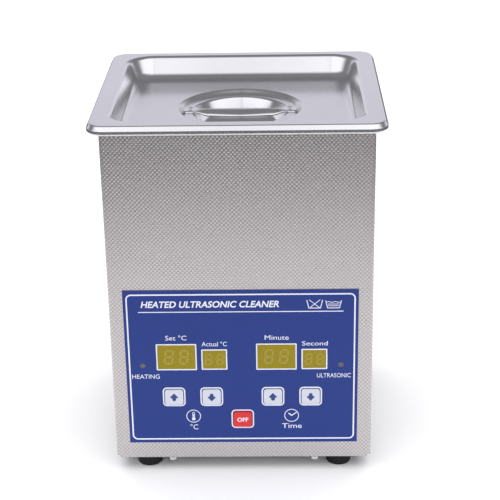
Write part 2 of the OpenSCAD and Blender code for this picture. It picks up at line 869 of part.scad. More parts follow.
// From the probe and the cut-out under the tank to the control board's rear
module sensor_leads() {
    board_y = control_y + board_t;
    color("gray") {
        for (i = [0, 1]) wire([
            [37.2 + 1.6 * i, 20, tank_floor_z - sheet_t - 15.1], [37.2 + 1.6 * i, 20, 104],
            [48 + 2 * i, -20, 92], [52 + 2 * i, -46, 84], [52 + 2 * i, board_y + 8, 80],
            [52 + 2 * i, board_y + 0.1, 80]
        ], 0.6);
        for (i = [0, 1]) wire([
            [-46 + 8 * i, 16, tank_floor_z - sheet_t - 18.1], [-46 + 8 * i, 16, 100],
            [-54 + 3 * i, -20, 92], [-54 + 3 * i, -46, 84], [-54 + 3 * i, board_y + 8, 80],
            [-54 + 3 * i, board_y + 0.1, 80]
        ], 0.6);
    }
}

// Flat cable from the driver board's header up into the control board's socket
module ribbon_cable() {
    y0 = header_at[1] + 3;
    y1 = control_y + board_t + 3;
    foot = driver_top + header_h + 0.1;
    head = casing_z + 40;
    color("lightgray") translate([header_at[0] + 3, 0, 0]) rotate([90, 0, 90]) linear_extrude(16) polygon([
        [y0 - 0.5, foot], [y0 + 0.5, foot], [y0 + 0.5, foot + 5],
        [y1 + 0.5, head - 6], [y1 + 0.5, head - 0.1], [y1 - 0.5, head - 0.1],
        [y1 - 0.5, head - 6.5], [y0 - 0.5, foot + 4.5]
    ]);
}

// ================= lid =================

// Section of the tray from its edge bend to its floor, x from the corner's centre
module tray_section() {
    t = sheet_t;
    top = [tray_edge_r, lid_z - tray_bend_r];
    lean_out = 180 - tray_lean;
    wall_top = top + tray_bend_r * [cos(lean_out), sin(lean_out)];
    // the fillet's centre is where it touches both the wall and the floor
    slide = (wall_top[1] - tray_z - tray_fillet_r * (1 - sin(tray_lean))) / cos(tray_lean);
    bottom = wall_top + slide * [-sin(tray_lean), -cos(tray_lean)]
        + tray_fillet_r * [-cos(tray_lean), sin(tray_lean)];
    polygon(concat(
        arc(top, tray_bend_r, 90, lean_out),
        arc(bottom, tray_fillet_r, -tray_lean, -90),
        [[0, tray_z], [0, tray_z - t]],
        arc(bottom, tray_fillet_r + t, -90, -tray_lean),
        arc(top, tray_bend_r - t, lean_out, 90)
    ));
}

// Centres of the roll and of the bend above it, x from the rim's corner centre
rim_roll = [lid_corner_r - rim_roll_r, lid_z - rim_drop + rim_roll_r];
rim_bend_z = lid_z - rim_bend_r;
rim_bend = [
    rim_roll[0] - ((rim_bend_z - rim_roll[1]) * sin(rim_lean) + rim_bend_r - rim_roll_r) / cos(rim_lean),
    rim_bend_z
];

// Section of the turned-down rim: bend, sloping skirt and roll
module rim_section() {
    polygon(concat(
        arc(rim_bend, rim_bend_r, 90, rim_lean, 5),
        arc(rim_roll, rim_roll_r, rim_lean, -90, 9),
        [rim_roll + [-1.2, -rim_roll_r], rim_roll + [-1.2, sheet_t - rim_roll_r]],
        arc(rim_roll, rim_roll_r - sheet_t, -90, rim_lean, 6),
        arc(rim_bend, rim_bend_r - sheet_t, rim_lean, 90, 3)
    ));
}

// Section of the round well: step, ledge and finger bowl, x from its axis
module well_section() {
    t = sheet_t;
    bottom_z = ledge_z - bowl_depth;
    bowl_wall = bowl_r - bowl_bend_r;
    step_top = [well_r, tray_z - well_bend_r];
    step_foot = [well_r - 2 * well_bend_r + 0.4, ledge_z + well_bend_r - 0.2];
    bowl_top = [bowl_r, ledge_z - bowl_bend_r];
    bowl_foot = [bowl_wall - bowl_fillet_r - 2, bottom_z + bowl_fillet_r];
    polygon(concat(
        [[well_r + 1, tray_z]],
        arc(step_top, well_bend_r, 90, 180, 6),
        [[ledge_out_r - 0.4, ledge_z]],
        arc(bowl_top, bowl_bend_r, 90, 170, 6),
        arc(bowl_foot, bowl_fillet_r, -8, -90),
        [[0, bottom_z], [0, bottom_z - t]],
        arc(bowl_foot, bowl_fillet_r + t, -90, -8),
        arc(bowl_top, bowl_bend_r - t, 170, 90, 6),
        [[ledge_out_r + 0.1, ledge_z - t]],
        arc(step_top, well_bend_r - t, 180, 90, 6),
        [[well_r + 1, tray_z - t]]
    ));
}

module lid_pan() {
    rim_cx = lid_w / 2 - lid_corner_r;
    rim_cy = lid_d / 2 - lid_corner_r;
    flat_r = rim_bend[0];
    color("silver") {
        sweep(rim_cx, rim_cy) rim_section();
        translate([0, 0, lid_z - sheet_t]) linear_extrude(sheet_t) difference() {
            rrect(2 * (rim_cx + flat_r), 2 * (rim_cy + flat_r), flat_r);
            rrect(2 * (tray_cx + tray_edge_r), 2 * (tray_cy + tray_edge_r), tray_edge_r);
        }
        sweep(tray_cx, tray_cy) tray_section();
        translate([0, 0, tray_z - sheet_t]) linear_extrude(sheet_t) difference() {
            square([2 * tray_cx, 2 * tray_cy], center = true);
            circle(well_r + 1);
        }
        rotate_extrude() well_section();
    }
}

// Handle: a strap over the finger bowl, its edges curled down between its two flat welded tabs
function ease(a, b, t) = a + (b - a) * (1 - cos(180 * min(1, max(0, t)))) / 2;
function strap_half_w(a) =
    a < bowl_r - 3 ? ease(strap_mid_w, strap_neck_w, a / (bowl_r - 3)) / 2
    : a < strap_half - 2.4 ? ease(strap_neck_w, strap_tab_w, (a - bowl_r + 3) / 4) / 2
    : strap_tab_w / 2 - 2.4 + sqrt(max(0, 2.4 * 2.4 - (a - strap_half + 2.4) * (a - strap_half + 2.4)));
function strap_fall(a) = strap_curl * ease(1, 0, (a - bowl_r + 11) / 9);

module lid_handle() {
    right = concat(
        [for (i = [0:10]) i * (bowl_r - 3) / 10],
        [for (i = [1:6]) bowl_r - 3 + i * (strap_half - 2.4 - bowl_r + 3) / 6],
        [for (f = [30, 60, 90]) strap_half - 2.4 + 2.4 * sin(f)]
    );
    stations = concat([for (i = [len(right) - 1:-1:1]) -right[i]], right);
    n = len(stations);
    m = 8;
    // one closed ring of points a station: along the top, then back along the underside
    ring = [for (x = stations) let (a = abs(x), h = strap_half_w(a), fall = strap_fall(a)) each concat(
        [for (k = [0:m]) let (v = 2 * k / m - 1) [x, h * v, strap_t - fall * v * v]],
        [for (k = [m:-1:0]) let (v = 2 * k / m - 1) [x, h * v, -fall * v * v]]
    )];
    c = 2 * (m + 1);
    color("silver") translate([0, 0, ledge_z + 0.02]) polyhedron(
        points = ring,
        faces = concat(
            [for (k = [0:m - 1]) each [[k, k + 1, c - 1 - k], [k + 1, c - 2 - k, c - 1 - k]]],
            [for (i = [0:n - 2], k = [0:c - 1]) let (a = i * c + k, b = i * c + (k + 1) % c)
                each [[a, a + c, b], [b, a + c, b + c]]],
            [for (k = [0:m - 1]) let (o = (n - 1) * c)
                each [[o + k, o + c - 1 - k, o + k + 1], [o + k + 1, o + c - 1 - k, o + c - 2 - k]]]
        )
    );
}

// ================= assembly =================

outer_casing();
bottom_plate();
foot(-61, -61);  // foot_front_left
foot(61, -61);  // foot_front_right
foot(-61, 61);  // foot_rear_left
foot(61, 61);  // foot_rear_right
foot_screws();
base_screws();
tank();
rim_gasket();
bond_pad();
transducer_front_mass();
piezo_rings();
electrode_discs();
transducer_back_mass();
transducer_bolt();
heater_pad(-1);  // heater_pad_left
heater_pad(1);  // heater_pad_right
thermal_cutout();
temperature_probe();
driver_board();
driver_standoffs();
driver_screws();
transformer_core();
transformer_coil();
tuning_inductor();
heat_sink();
power_transistors();
film_capacitors();
bulk_capacitor();
bridge_rectifier();
terminal_blocks();
control_board();
control_standoffs();
control_chips();
tact_switches();
display(0);  // set_display
display(1);  // actual_display
display(2);  // minute_display
display(3);  // second_display
indicator_leds();
panel_overlay();
display_windows();
mains_inlet();
inlet_blades();
inlet_screws();
mains_leads();
transducer_leads();
heater_leads();
sensor_leads();
ribbon_cable();
lid_pan();
lid_handle();
key([key_x[0], key_row], "whitesmoke");  // key_temp_up
key([key_x[1], key_row], "whitesmoke");  // key_temp_down
key([key_x[2], key_row], "whitesmoke");  // key_time_up
key([key_x[3], key_row], "whitesmoke");  // key_time_down
key(power_key_at, "crimson");  // key_power
fuse_drawer();
fuse();
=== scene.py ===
import json
import math

import bmesh
import bpy
from mathutils import Matrix, Vector


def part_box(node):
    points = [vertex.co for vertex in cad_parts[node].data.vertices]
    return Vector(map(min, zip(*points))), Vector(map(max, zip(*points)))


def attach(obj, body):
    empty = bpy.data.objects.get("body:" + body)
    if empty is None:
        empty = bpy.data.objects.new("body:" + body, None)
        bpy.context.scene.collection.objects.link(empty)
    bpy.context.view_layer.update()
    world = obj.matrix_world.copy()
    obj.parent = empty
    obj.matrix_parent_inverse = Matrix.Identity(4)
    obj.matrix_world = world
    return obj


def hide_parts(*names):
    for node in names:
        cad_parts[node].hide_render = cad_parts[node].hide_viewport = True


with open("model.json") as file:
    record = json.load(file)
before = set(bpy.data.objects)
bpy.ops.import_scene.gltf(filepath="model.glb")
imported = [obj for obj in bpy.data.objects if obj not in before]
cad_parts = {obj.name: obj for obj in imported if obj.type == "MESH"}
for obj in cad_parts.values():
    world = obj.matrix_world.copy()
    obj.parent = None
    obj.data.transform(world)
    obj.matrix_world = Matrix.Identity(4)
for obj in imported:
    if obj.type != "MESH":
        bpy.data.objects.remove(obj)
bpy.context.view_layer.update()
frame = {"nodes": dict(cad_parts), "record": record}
MM = 0.001
scene = bpy.context.scene
nodes = frame["nodes"]


# ---------------------------------------------------------------- materials

class Wiring:
    """Short calls for adding nodes to a tree and linking them."""

    def __init__(self, tree):
        self.tree = tree

    def node(self, kind, **settings):
        n = self.tree.nodes.new(kind)
        for key, value in settings.items():
            setattr(n, key, value)
        return n

    def link(self, source, target):
        if isinstance(source, (int, float, tuple)):
            target.default_value = source
        else:
            self.tree.links.new(source, target)

    def math(self, operation, a, b=None):
        n = self.node("ShaderNodeMath", operation=operation)
        self.link(a, n.inputs[0])
        if b is not None:
            self.link(b, n.inputs[1])
        return n.outputs[0]

    def axes(self, coordinates="Object"):
        """x, y and z of a set of texture coordinates. Object ones are the row frame in metres."""
        coords = self.node("ShaderNodeTexCoord")
        split = self.node("ShaderNodeSeparateXYZ")
        self.link(coords.outputs[coordinates], split.inputs[0])
        return split.outputs

    def spread(self, source, low, high, from_low=0.3, from_high=0.7, blend="LINEAR"):
        n = self.node("ShaderNodeMapRange", interpolation_type=blend)
        self.link(source, n.inputs["Value"])
        n.inputs["From Min"].default_value = from_low
        n.inputs["From Max"].default_value = from_high
        n.inputs["To Min"].default_value = low
        n.inputs["To Max"].default_value = high
        return n.outputs["Result"]


class Look(Wiring):
    """A procedural material round a Principled shader."""

    def __init__(self, name, **values):
        self.material = bpy.data.materials.new(name)
        self.material.use_nodes = True
        super().__init__(self.material.node_tree)
        self.shader = self.tree.nodes["Principled BSDF"]
        for socket, value in values.items():
            self.shader.inputs[socket.replace("_", " ")].default_value = value

    def place(self, scale=(1, 1, 1)):
        """Object coordinates stretched by scale."""
        coords = self.node("ShaderNodeTexCoord")
        mapping = self.node("ShaderNodeMapping")
        mapping.inputs["Scale"].default_value = scale
        self.link(coords.outputs["Object"], mapping.inputs["Vector"])
        return mapping.outputs["Vector"]

    def noise(self, scale, detail=3.0, stretch=(1, 1, 1)):
        n = self.node("ShaderNodeTexNoise")
        self.link(self.place(stretch), n.inputs["Vector"])
        n.inputs["Scale"].default_value = scale
        n.inputs["Detail"].default_value = detail
        n.inputs["Roughness"].default_value = 0.55
        return n.outputs["Fac"]

    def mix(self, factor, a, b):
        n = self.node("ShaderNodeMix", data_type="RGBA")
        self.link(factor, n.inputs["Factor"])
        self.link((*a, 1) if isinstance(a, tuple) else a, n.inputs[6])
        self.link((*b, 1) if isinstance(b, tuple) else b, n.inputs[7])
        return n.outputs[2]

    def colour(self, source):
        self.link(source, self.shader.inputs["Base Color"])

    def rough(self, source):
        self.link(source, self.shader.inputs["Roughness"])

    def bump(self, height, depth):
        n = self.node("ShaderNodeBump")
        n.inputs["Strength"].default_value = 1.0
        n.inputs["Distance"].default_value = depth
        self.link(height, n.inputs["Height"])
        self.link(n.outputs["Normal"], self.shader.inputs["Normal"])


def shade(colour, k):
    return tuple(min(1.0, c * k) for c in colour)


def metal(name, colour, rough, stretch=(1, 1, 1), grain=900, depth=2e-6, cloud=0.05):
    look = Look(name, Metallic=1.0)
    look.colour(look.mix(look.noise(35, 2), shade(colour, 1 - cloud), shade(colour, 1 + cloud)))
    fine = look.noise(grain, 4, stretch)
    look.rough(look.spread(fine, rough - 0.04, rough + 0.05))
    look.bump(fine, depth)
    return look.material


def moulded(name, colour, rough, grain=2200, depth=1.2e-5, cloud=0.06, coat=0.0, matt=0.5):
    look = Look(name, Coat_Weight=coat, Specular_IOR_Level=matt)
    look.colour(look.mix(look.noise(60, 3), shade(colour, 1 - cloud), shade(colour, 1 + cloud)))
    fine = look.noise(grain, 3)
    look.rough(look.spread(fine, rough - 0.05, rough + 0.06))
    look.bump(fine, depth)
    return look.material


EMBOSS_PITCH = 2.56 * MM
EMBOSS_ROWS = 2.70 * MM


def embossed(name, colour, rough, depth):
    """Rolled sheet with staggered raised dots, laid out along each wall and up it, with painted shade on
    the flat sheet between the dots.
    """
    look = Look(name, Metallic=1.0)
    x, y, z = look.axes()
    facing = look.node("ShaderNodeNewGeometry")
    split = look.node("ShaderNodeSeparateXYZ")
    look.link(facing.outputs["True Normal"], split.inputs[0])
    side = look.math("GREATER_THAN", look.math("ABSOLUTE", split.outputs[0]), 0.5)
    along = look.math("ADD", look.math("MULTIPLY", y, side),
                      look.math("MULTIPLY", x, look.math("SUBTRACT", 1.0, side)))
    wave_u = look.math("COSINE", look.math("MULTIPLY", along, math.tau / EMBOSS_PITCH))
    wave_v = look.math("COSINE", look.math("MULTIPLY", z, math.tau / EMBOSS_ROWS))
    dots = look.spread(look.math("MULTIPLY", wave_u, wave_v), 0.0, 1.0, -0.3, 0.5)
    # plain on the folds, which face up and down, so these take the painted shade colour of the sheet
    # between the dots
    wall = look.math("LESS_THAN", look.math("ABSOLUTE", split.outputs[2]), 0.5)
    dots = look.math("MULTIPLY", dots, wall)
    rolled = look.mix(look.noise(28, 3), shade(colour, 0.95), shade(colour, 1.05))
    # painted shade: where the dot mask is 0, between the dots and on the folds, the colour is 28% darker
    look.colour(look.mix(dots, shade(colour, 0.72), rolled))
    look.rough(look.spread(look.noise(700, 3), rough - 0.04, rough + 0.05))
    look.bump(dots, depth)
    return look.material


def board(name):
    """Solder-masked circuit board: tracks show as slightly lighter runs."""
    look = Look(name)
    tracks = look.node("ShaderNodeTexBrick")
    look.link(look.place(), tracks.inputs["Vector"])
    tracks.inputs["Scale"].default_value = 90
    tracks.inputs["Color1"].default_value = (0.012, 0.10, 0.045, 1)
    tracks.inputs["Color2"].default_value = (0.016, 0.13, 0.060, 1)
    tracks.inputs["Mortar"].default_value = (0.022, 0.19, 0.085, 1)
    look.colour(tracks.outputs["Color"])
    look.rough(look.spread(look.noise(300), 0.28, 0.42))
    look.bump(tracks.outputs["Fac"], 3e-5)
    return look.material


def wound(name, colour, turns):
    """Enamelled winding: fine bands of wire, with painted shade in the grooves between turns and a painted
    highlight on their crowns.
    """
    look = Look(name, Metallic=1.0)
    wave = look.node("ShaderNodeTexWave", bands_direction="DIAGONAL")
    look.link(look.place(), wave.inputs["Vector"])
    wave.inputs["Scale"].default_value = turns
    wave.inputs["Distortion"].default_value = 0.6
    # painted shade and painted highlight: darker in the grooves, lighter on the crowns of the turns
    look.colour(look.mix(wave.outputs["Fac"], shade(colour, 0.55), shade(colour, 1.1)))
    look.rough(look.spread(look.noise(200), 0.25, 0.4))
    look.bump(wave.outputs["Fac"], 1.5e-4)
    return look.material


def ribbed_cable(name, colour, pitch):
    look = Look(name)
    x = look.axes()[0]
    ribs = look.math("COSINE", look.math("MULTIPLY", x, math.tau / pitch))
    # painted shade and painted highlight: darker in the grooves between the ribs, lighter on their crests
    look.colour(look.mix(look.spread(ribs, 0, 1, -1, 1), shade(colour, 0.7), shade(colour, 1.1)))
    look.rough(look.spread(look.noise(400), 0.4, 0.55))
    look.bump(ribs, 1e-4)
    return look.material


LOOKS = {
    "steel_lid": metal("lid_steel", (0.82, 0.815, 0.845), 0.17, grain=1500, depth=1.5e-6, cloud=0.03),
    "steel_tank": metal("tank_steel", (0.84, 0.84, 0.86), 0.26, grain=1300, depth=7e-7),
    "steel_casing": embossed("embossed_steel", (0.630, 0.596, 0.596), 0.30, 0.9e-4),
    # painted shade: the base plate's steel is dark, 0.20, so its edge shows as the dark line along the
    # casing's bottom edge
    "steel_base": metal("base_steel_painted_shade", (0.20, 0.20, 0.205), 0.45, (1, 12, 1), 700, 6e-6),
    "rubber_black": moulded("foot_rubber", (0.006, 0.006, 0.007), 0.62, 1500, 4e-5, 0.25, matt=0.3),
    "silicone_white": moulded("gasket_silicone", (0.62, 0.61, 0.59), 0.50),
    "zinc": metal("zinc_plate", (0.62, 0.63, 0.65), 0.26, cloud=0.08),
    "epoxy": moulded("bond_epoxy", (0.35, 0.26, 0.12), 0.35),
    "aluminium": metal("turned_aluminium", (0.72, 0.73, 0.74), 0.28, (1, 1, 14), 500, 8e-6),
    "piezo": moulded("piezo_ceramic", (0.20, 0.13, 0.08), 0.55, 2600, 2e-5, 0.12),
    "copper": wound("copper_winding", (0.60, 0.26, 0.12), 260),
    "steel_dark": metal("turned_steel", (0.32, 0.33, 0.34), 0.32, (1, 1, 14), 500, 8e-6),
    "heater_film": moulded("heater_film", (0.50, 0.17, 0.02), 0.30, 600, 6e-5, 0.15),
    "black_plastic": moulded("black_plastic", (0.016, 0.016, 0.018), 0.42, 2400, 2.5e-5, 0.2),
    "brass": metal("brass", (0.66, 0.46, 0.16), 0.25, cloud=0.08),
    "board_green": board("circuit_board"),
    "ferrite": moulded("ferrite", (0.03, 0.03, 0.033), 0.55, 1800, 4e-5, 0.2),
    "film_red": moulded("film_capacitor", (0.30, 0.02, 0.015), 0.25, 900, 2e-5, 0.1, 0.4),
    "sleeve_blue": moulded("capacitor_sleeve", (0.01, 0.02, 0.10), 0.22, 900, 2e-5, 0.15, 0.5),
    "terminal_green": moulded("terminal_plastic", (0.02, 0.22, 0.07), 0.40),
    "display_black": moulded("display_body", (0.02, 0.02, 0.016), 0.25),
    "led_lens": moulded("lamp_body", (0.30, 0.28, 0.18), 0.20),
    "overlay_blue": moulded("overlay_film", (0.0165, 0.038, 0.205), 0.42, 3200, 6e-6, 0.035, matt=0.25),
    "window_olive": moulded("display_window", (0.270, 0.208, 0.006), 0.28, 1500, 4e-6, 0.05, matt=0.22),
    "wire_brown": moulded("wire_brown", (0.12, 0.04, 0.015), 0.40),
    "wire_red": moulded("wire_red", (0.42, 0.012, 0.01), 0.40),
    "wire_white": moulded("wire_white", (0.70, 0.70, 0.68), 0.40),
    "wire_grey": ribbed_cable("ribbon_grey", (0.30, 0.31, 0.33), 1.27 * MM),
    "key_white": moulded("key_white", (0.57, 0.60, 0.68), 0.34, 2600, 6e-6, 0.03),
    "key_red": moulded("key_red", (0.62, 0.016, 0.018), 0.34, 2600, 6e-6, 0.05),
    "glass_fuse": metal("fuse_caps", (0.68, 0.69, 0.70), 0.18),
}
PRINT_WHITE = moulded("print_white", (0.74, 0.76, 0.86), 0.38, 2600, 4e-6, 0.03)
PRINT_NAVY = moulded("print_navy", (0.020, 0.040, 0.190), 0.38, 2600, 4e-6, 0.05)
SEGMENT = moulded("unlit_segment", (0.315, 0.245, 0.022), 0.24, 1500, 4e-6, 0.05)
LAMP = moulded("lamp_lens", (0.068, 0.074, 0.078), 0.18, 1500, 4e-6, 0.15, 0.5)

slot_of = {s["node"]: s["material_slot"] for s in frame["record"]["subparts"]}
for name, ob in nodes.items():
    ob.data.materials.clear()
    ob.data.materials.append(LOOKS[slot_of[name]])


# ---------------------------------------------------------------- meshes

def piece(name, verts, faces, body, slot, material=None, smooth=False):
    """A mesh in metres, in the row frame, riding on a body. Its normals are made to point outwards."""
    mesh = bpy.data.meshes.new(name)
    mesh.from_pydata([tuple(v) for v in verts], [], faces)
    bm = bmesh.new()
    bm.from_mesh(mesh)
    bmesh.ops.remove_doubles(bm, verts=bm.verts, dist=1e-7)
    bmesh.ops.recalc_face_normals(bm, faces=bm.faces)
    for f in bm.faces:
        f.smooth = smooth
    bm.to_mesh(mesh)
    bm.free()
    ob = bpy.data.objects.new(name, mesh)
    scene.collection.objects.link(ob)
    mesh.materials.append(material or LOOKS[slot])
    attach(ob, body)
    if smooth:
        steady = ob.modifiers.new("steady_normals", "WEIGHTED_NORMAL")
        steady.keep_sharp = True
        steady.weight = 60
    return ob


PER_CORNER = 20
PER_SIDE = 16


def rounded_ring(cx, cy, r, z):
    """Points round a rectangle with corner centres (+-cx, +-cy) and corner radius r.

    They start in the middle of its right side and go anticlockwise.
    """
    ring = []
    for q, (sx, sy) in enumerate(((1, 1), (-1, 1), (-1, -1), (1, -1))):
        ux, uy = ((0, 1), (-1, 0), (0, -1), (1, 0))[q]
        vx, vy = ((1, 0), (0, 1), (-1, 0), (0, -1))[q]
        near, far = (cy, cx) if q % 2 == 0 else (cx, cy)
        out_near, out_far = (cx + r, cy + r) if q % 2 == 0 else (cy + r, cx + r)
        for i in range(PER_SIDE):
            t = near * i / PER_SIDE
            ring.append((vx * out_near + ux * t, vy * out_near + uy * t, z))
        for i in range(PER_CORNER):
            a = math.radians(90 * q + 90 * i / PER_CORNER)
            ring.append((sx * cx + r * math.cos(a), sy * cy + r * math.sin(a), z))
        for i in range(PER_SIDE):
            t = far * (1 - i / PER_SIDE)
            ring.append((ux * out_far + vx * t, uy * out_far + vy * t, z))
    return ring


def circle_ring(r, z):
    """As many points as a rounded ring has, evenly round a circle from the same side."""
    n = 4 * (PER_CORNER + 2 * PER_SIDE)
    return [(r * math.cos(math.tau * k / n), r * math.sin(math.tau * k / n), z) for k in range(n)]


def loft(rings):
    """Quads between rings of equal length, with the first and the last closed."""
    n = len(rings[0])
    verts = [p for ring in rings for p in ring]
    faces = []
    for i in range(len(rings) - 1):
        for k in range(n):
            a, b = i * n + k, i * n + (k + 1) % n
            faces.append((a, b, b + n, a + n))
    faces.append(tuple(range(n)))
    faces.append(tuple(range((len(rings) - 1) * n, len(rings) * n)))
    return verts, faces


def arc(cx, cz, r, a0, a1, n):
    """Points along an arc in a section, from angle a0 to a1 in degrees."""
    out = []
    for i in range(n + 1):
        a = math.radians(a0 + (a1 - a0) * i / n)
        out.append((cx + r * math.cos(a), cz + r * math.sin(a)))
    return out


def ease(a, b, t):
    """From a to b as t goes from 0 to 1, level at both ends."""
    return a + (b - a) * (1 - math.cos(math.pi * min(1.0, max(0.0, t)))) / 2


SHEET = 0.8                     # the sections below are in millimetres


def lid_mesh():
    """The lid as one closed shell, from the middle of its bowl, out over the rim and back underneath."""
    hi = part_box("lid_pan")[1]
    top = hi.z / MM
    half_x, half_y = hi.x / MM, hi.y / MM
    # the rim: a bend, a skirt at a slant, an upright side, a tight foot and the sheet's edge turned in
    rim_r, drop, skirt, bend_r, roll_r, foot_r, upright = 11.0, 5.1, 28.0, 1.0, 1.2, 0.5, 1.4
    rim = (half_x - rim_r, half_y - rim_r)
    roll = (rim_r - roll_r, roll_r - drop)
    hem = roll[0] - 1.2
    skirt_s, skirt_c = math.sin(math.radians(skirt)), math.cos(math.radians(skirt))
    foot = (rim_r - foot_r, foot_r - drop)
    neck = (roll[0], foot[1] + upright)
    over = (roll[0] - ((-bend_r - neck[1]) * skirt_s + bend_r - roll_r) / skirt_c, -bend_r)
    # the tray: how far it stays inside the rim, its corners, bends and the lean of its walls
    inset_x, inset_y, tray_r, bend, fillet, lean = 10.2, 7.9, 19.0, 3.0, 7.0, 25.0
    tray = (half_x - inset_x - tray_r, half_y - inset_y - tray_r)
    # the round well and the finger bowl in it
    floor, ledge, bowl = -13.5, -16.1, -31.1
    well_r, shoulder_w = 39.4, 3.9
    mouth_r, mouth_bend, bowl_flat, bowl_fillet = 30.9, 1.6, 18.3, 9.0
    s, c = math.sin(math.radians(lean)), math.cos(math.radians(lean))
    wall_x, wall_z = tray_r - bend * c, -bend + bend * s
    slide = (wall_z - floor - fillet * (1 - s)) / c
    fx, fz = wall_x - slide * s - fillet * c, wall_z - slide * c + fillet * s

    def shoulder(t):
        return [(well_r - shoulder_w * i / 12, ease(floor, ledge, i / 12) - t) for i in range(12, -1, -1)]

    def round_part(t):
        """Middle of the bowl out to the tray's floor; t is how far below the top skin this skin is."""
        return ([(r, bowl - t) for r in (1, 6, 12)]
                + arc(bowl_flat, bowl + bowl_fillet, bowl_fillet + t, -90, -8, 12)
                + arc(mouth_r, ledge - mouth_bend, mouth_bend - t, 170, 90, 8)
                + [(mouth_r + out, ledge - t) for out in (1.5, 3.1)]
                + shoulder(t) + [(well_r + 3.1, floor - t)])

    def square_part(t):
        return (arc(fx, fz, fillet + t, -90, -lean, 10)
                + arc(tray_r, -bend, bend - t, 180 - lean, 90, 8))

    rings = []

    def put(points, centres):
        for x, z in points:
            z = (top + z) * MM
            if centres is None:
                rings.append(circle_ring(x * MM, z))
            else:
                rings.append(rounded_ring(centres[0] * MM, centres[1] * MM, x * MM, z))

    put(round_part(0), None)
    put(square_part(0), tray)
    put([(over[0] - 0.8, 0)] + arc(*over, bend_r, 90, skirt, 8) + arc(*neck, roll_r, skirt, 0, 5)
        + arc(*foot, foot_r, 0, -90, 12)
        + [(hem, -drop), (hem, SHEET - drop)]
        + arc(*roll, roll_r - SHEET, -90, 0, 6) + arc(*neck, roll_r - SHEET, 0, skirt, 3)
        + arc(*over, bend_r - SHEET, skirt, 90, 4), rim)
    put(list(reversed(square_part(SHEET))), tray)
    put(list(reversed(round_part(SHEET))), None)
    verts, faces = loft(rings)
    ob = piece("lid_shell", verts, faces, "lid", "steel_lid", smooth=True)
    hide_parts("lid_pan")


def tank_mesh():
    lo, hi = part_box("tank")
    rim_z, floor = hi.z / MM, lo.z / MM + SHEET
    mouth_x, mouth_y, corner, draft, fillet, bend = 75.0, 69.5, 17.0, 2.6, 8.0, 2.2
    mouth = (mouth_x - corner, mouth_y - corner)
    flange_r, soft = 9.8, 0.3
    flange = (hi.x / MM - flange_r, hi.y / MM - flange_r)

    def skin(t):
        foot = corner - draft - fillet
        return (arc(foot, floor + fillet, fillet + t, -90, 0, 12)
                + arc(corner + bend, rim_z - bend, bend - t, 180, 90, 8))

    rings = []

    def put(points, centres):
        for x, z in points:
            rings.append(rounded_ring(centres[0] * MM, centres[1] * MM, x * MM, z * MM))

    put(skin(0), mouth)
    put([(flange_r - soft, rim_z), (flange_r, rim_z - soft), (flange_r, rim_z - SHEET + soft),
         (flange_r - soft, rim_z - SHEET)], flange)
    put(list(reversed(skin(SHEET))), mouth)
    verts, faces = loft(rings)
    ob = piece("tank_shell", verts, faces, "base", "steel_tank", smooth=True)
    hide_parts("tank")


def handle_mesh():
    """The strap: its edges curl down over the bowl, and its flat ends are dented by their spot welds."""
    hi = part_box("lid_handle")[1]
    half, thick, curl, neck = hi.x / MM, 1.2, 2.2, 27.9
    grip_w, neck_w, end_w, end_r = 13.0, 9.6, 11.0, 2.4

    def half_width(a):
        if a < neck:
            return ease(grip_w, neck_w, a / neck) / 2
        if a < half - end_r:
            return ease(neck_w, end_w, (a - neck) / 4) / 2
        return end_w / 2 - end_r + math.sqrt(max(0, end_r ** 2 - (a - half + end_r) ** 2))

    steps_x, steps_y = 142, 24
    tip = half - 0.02
    stations = [-tip + 2 * tip * i / steps_x for i in range(steps_x + 1)]
    across = [2 * k / steps_y - 1 for k in range(steps_y + 1)]
    welds = [(sx * (half - 4.4), sy * 2.7) for sx in (-1, 1) for sy in (-1, 1)]
    top, under = [], []
    for x in stations:
        h = half_width(abs(x))
        # the curl fades out over the last 8 mm before the neck
        fall = curl * ease(1, 0, (abs(x) - neck + 8) / 9)
        for v in across:
            y = h * v
            # the outer 14% of each side is rounded off by 0.5 mm, and a weld is a dent 0.45 mm deep
            edge = 0.5 * max(0, abs(v) - 0.86) / 0.14
            dent = sum(0.45 * math.exp(-((x - wx) ** 2 + (y - wy) ** 2) / 0.9) for wx, wy in welds)
            z = -fall * abs(v) ** 1.8
            top.append((x * MM, y * MM, hi.z + (z - dent - edge) * MM))
            under.append((x * MM, y * MM, hi.z + (z - thick) * MM))
    n, m = len(stations), len(across)
    verts = top + under
    o = n * m
    faces = []
    for i in range(n - 1):
        for k in range(m - 1):
            a = i * m + k
            faces.append((a, a + 1, a + m + 1, a + m))
            faces.append((o + a, o + a + m, o + a + m + 1, o + a + 1))
        for a in (i * m, i * m + m - 1):
            faces.append((a, a + m, o + a + m, o + a))
    for i in (0, n - 1):
        for k in range(m - 1):
            a = i * m + k
            faces.append((a, a + 1, o + a + 1, o + a))
    ob = piece("strap_handle", verts, faces, "lid", "steel_lid", smooth=True)
    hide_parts("lid_handle")


lid_mesh()
tank_mesh()
handle_mesh()

# ---------------------------------------------------------------- printed panel

PANEL_LO, PANEL_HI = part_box("panel_overlay")
PANEL_Y = PANEL_LO.y
PANEL_X = (PANEL_LO.x + PANEL_HI.x) / 2
BASE_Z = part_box("outer_casing")[0].z      # heights on the panel are above the casing's underside
INK = 0.05 * MM                           # how far the print stands proud
OVER = 0.01 * MM                          # one print over another


def rounded(w, h, r, n=6):
    pts = []
    for q, (sx, sz) in enumerate(((1, 1), (-1, 1), (-1, -1), (1, -1))):
        for i in range(n + 1):
            a = math.radians(90 * q + 90 * i / n)
            pts.append((sx * (w / 2 - r) + r * math.cos(a), sz * (h / 2 - r) + r * math.sin(a)))
    return pts


def slab(outline, y0, y1):
    """A closed prism over an outline of (x, z) in millimetres on the panel, from y0 to y1."""
    n = len(outline)
    verts = [(PANEL_X + x * MM, y, BASE_Z + z * MM) for y in (y0, y1) for x, z in outline]
    faces = [tuple(range(n)), tuple(range(n, 2 * n))]
    faces += [(k, (k + 1) % n, n + (k + 1) % n, n + k) for k in range(n)]
    return verts, faces


